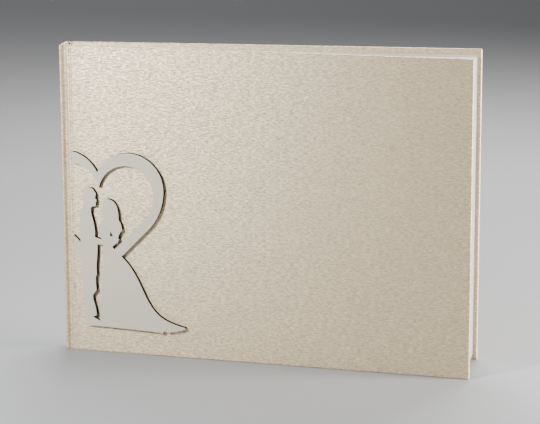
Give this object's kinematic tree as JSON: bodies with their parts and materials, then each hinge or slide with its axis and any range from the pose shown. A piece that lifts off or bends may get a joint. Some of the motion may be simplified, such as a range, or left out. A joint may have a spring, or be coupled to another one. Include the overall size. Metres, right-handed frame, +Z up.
{
  "type": "wedding guest book",
  "caption": "Hard-cover landscape guest book with fanning leaves and a laser-cut couple in a heart on the front cover.",
  "frame": {"origin": "middle of the bounding box's bottom face, on the surface that the book stands on", "axes": "+X along the back cover from the spine to the fore-edge, +Y from the front cover to the back cover, +Z up along the spine"},
  "size_m": [0.28, 0.0502, 0.21],
  "materials": {
    "satin_paper": "champagne satin covering paper with a fine horizontal streak",
    "grey_board": "bookbinder's board",
    "endpaper": "smooth ivory endpaper",
    "page_card": "smooth white page card",
    "thread": "waxed linen sewing thread",
    "mull_cloth": "open starched cloth",
    "laser_cut_card": "matte greyed-ivory face with burnt brown cut edges"
  },
  "bodies": {
    "back_cover": {"back_board": "grey_board", "back_covering": "satin_paper", "back_pastedown": "endpaper"},
    "spine": {"spine_board": "grey_board", "spine_covering": "satin_paper"},
    "front_cover": {"front_board": "grey_board", "front_covering": "satin_paper", "front_pastedown": "endpaper", "couple_plate": "laser_cut_card"},
    "back_leaf": {"back_flyleaf": "endpaper"},
    "section_12": {"outer_sheet_12": "page_card", "inner_sheet_12": "page_card", "sewing_thread_12": "thread"},
    "section_11": {"outer_sheet_11": "page_card", "inner_sheet_11": "page_card", "sewing_thread_11": "thread"},
    "section_10": {"outer_sheet_10": "page_card", "inner_sheet_10": "page_card", "sewing_thread_10": "thread"},
    "section_09": {"outer_sheet_09": "page_card", "inner_sheet_09": "page_card", "sewing_thread_09": "thread"},
    "section_08": {"outer_sheet_08": "page_card", "inner_sheet_08": "page_card", "sewing_thread_08": "thread"},
    "section_07": {"outer_sheet_07": "page_card", "inner_sheet_07": "page_card", "sewing_thread_07": "thread"},
    "section_06": {"outer_sheet_06": "page_card", "inner_sheet_06": "page_card", "sewing_thread_06": "thread", "spine_mull": "mull_cloth"},
    "section_05": {"outer_sheet_05": "page_card", "inner_sheet_05": "page_card", "sewing_thread_05": "thread"},
    "section_04": {"outer_sheet_04": "page_card", "inner_sheet_04": "page_card", "sewing_thread_04": "thread"},
    "section_03": {"outer_sheet_03": "page_card", "inner_sheet_03": "page_card", "sewing_thread_03": "thread"},
    "section_02": {"outer_sheet_02": "page_card", "inner_sheet_02": "page_card", "sewing_thread_02": "thread"},
    "section_01": {"outer_sheet_01": "page_card", "inner_sheet_01": "page_card", "sewing_thread_01": "thread"},
    "front_leaf": {"front_flyleaf": "endpaper"}
  },
  "joints": [
    {"name": "front_cover_hinge", "type": "hinge", "parent": "spine", "child": "front_cover", "pos_m": [-0.13625, 0.00782, 0], "axis": [0, 0, -1], "range_deg": [-3.28, 80]},
    {"name": "back_cover_hinge", "type": "hinge", "parent": "back_cover", "child": "spine", "pos_m": [-0.13625, 0.02382, 0], "axis": [0, 0, -1], "range_deg": [-3.29, 80.01]},
    {"name": "back_leaf_fold", "type": "hinge", "parent": "back_cover", "child": "back_leaf", "pos_m": [-0.136, 0.02187, 0], "axis": [0, 0, -1], "range_deg": [-0.45, 10.68]},
    {"name": "section_12_fold", "type": "hinge", "parent": "back_leaf", "child": "section_12", "pos_m": [-0.136, 0.02167, 0], "axis": [0, 0, -1], "range_deg": [-0.45, 10.68]},
    {"name": "section_11_fold", "type": "hinge", "parent": "section_12", "child": "section_11", "pos_m": [-0.13602, 0.02071, 0], "axis": [0, 0, -1], "range_deg": [-0.45, 10.68]},
    {"name": "section_10_fold", "type": "hinge", "parent": "section_11", "child": "section_10", "pos_m": [-0.13604, 0.01975, 0], "axis": [0, 0, -1], "range_deg": [-0.45, 10.68]},
    {"name": "section_09_fold", "type": "hinge", "parent": "section_10", "child": "section_09", "pos_m": [-0.13607, 0.01879, 0], "axis": [0, 0, -1], "range_deg": [-0.45, 10.68]},
    {"name": "section_08_fold", "type": "hinge", "parent": "section_09", "child": "section_08", "pos_m": [-0.1361, 0.01783, 0], "axis": [0, 0, -1], "range_deg": [-0.45, 10.68]},
    {"name": "section_07_fold", "type": "hinge", "parent": "section_08", "child": "section_07", "pos_m": [-0.13615, 0.01688, 0], "axis": [0, 0, -1], "range_deg": [-0.45, 10.68]},
    {"name": "front_leaf_fold", "type": "hinge", "parent": "front_cover", "child": "front_leaf", "pos_m": [-0.13669, 0.00998, 0], "axis": [0, 0, 1], "range_deg": [-0.45, 10.68]},
    {"name": "section_01_fold", "type": "hinge", "parent": "front_leaf", "child": "section_01", "pos_m": [-0.13666, 0.01018, 0], "axis": [0, 0, 1], "range_deg": [-0.45, 10.68]},
    {"name": "section_02_fold", "type": "hinge", "parent": "section_01", "child": "section_02", "pos_m": [-0.13657, 0.01113, 0], "axis": [0, 0, 1], "range_deg": [-0.45, 10.68]},
    {"name": "section_03_fold", "type": "hinge", "parent": "section_02", "child": "section_03", "pos_m": [-0.13648, 0.01209, 0], "axis": [0, 0, 1], "range_deg": [-0.45, 10.68]},
    {"name": "section_04_fold", "type": "hinge", "parent": "section_03", "child": "section_04", "pos_m": [-0.1364, 0.01304, 0], "axis": [0, 0, 1], "range_deg": [-0.45, 10.68]},
    {"name": "section_05_fold", "type": "hinge", "parent": "section_04", "child": "section_05", "pos_m": [-0.13633, 0.014, 0], "axis": [0, 0, 1], "range_deg": [-0.45, 10.68]},
    {"name": "section_06_fold", "type": "hinge", "parent": "section_05", "child": "section_06", "pos_m": [-0.13626, 0.01496, 0], "axis": [0, 0, 1], "range_deg": [-0.45, 10.68], "deforming": ["spine_mull"]}
  ],
  "couplings": [
    {"joint": "back_cover_hinge", "follows": "front_cover_hinge", "ratio": 1},
    {"joint": "back_leaf_fold", "follows": "front_cover_hinge", "ratio": 0.13333},
    {"joint": "section_12_fold", "follows": "front_cover_hinge", "ratio": 0.13333},
    {"joint": "section_11_fold", "follows": "front_cover_hinge", "ratio": 0.13333},
    {"joint": "section_10_fold", "follows": "front_cover_hinge", "ratio": 0.13333},
    {"joint": "section_09_fold", "follows": "front_cover_hinge", "ratio": 0.13333},
    {"joint": "section_08_fold", "follows": "front_cover_hinge", "ratio": 0.13333},
    {"joint": "section_07_fold", "follows": "front_cover_hinge", "ratio": 0.13333},
    {"joint": "front_leaf_fold", "follows": "front_cover_hinge", "ratio": 0.13333},
    {"joint": "section_01_fold", "follows": "front_cover_hinge", "ratio": 0.13333},
    {"joint": "section_02_fold", "follows": "front_cover_hinge", "ratio": 0.13333},
    {"joint": "section_03_fold", "follows": "front_cover_hinge", "ratio": 0.13333},
    {"joint": "section_04_fold", "follows": "front_cover_hinge", "ratio": 0.13333},
    {"joint": "section_05_fold", "follows": "front_cover_hinge", "ratio": 0.13333},
    {"joint": "section_06_fold", "follows": "front_cover_hinge", "ratio": 0.13333}
  ]
}
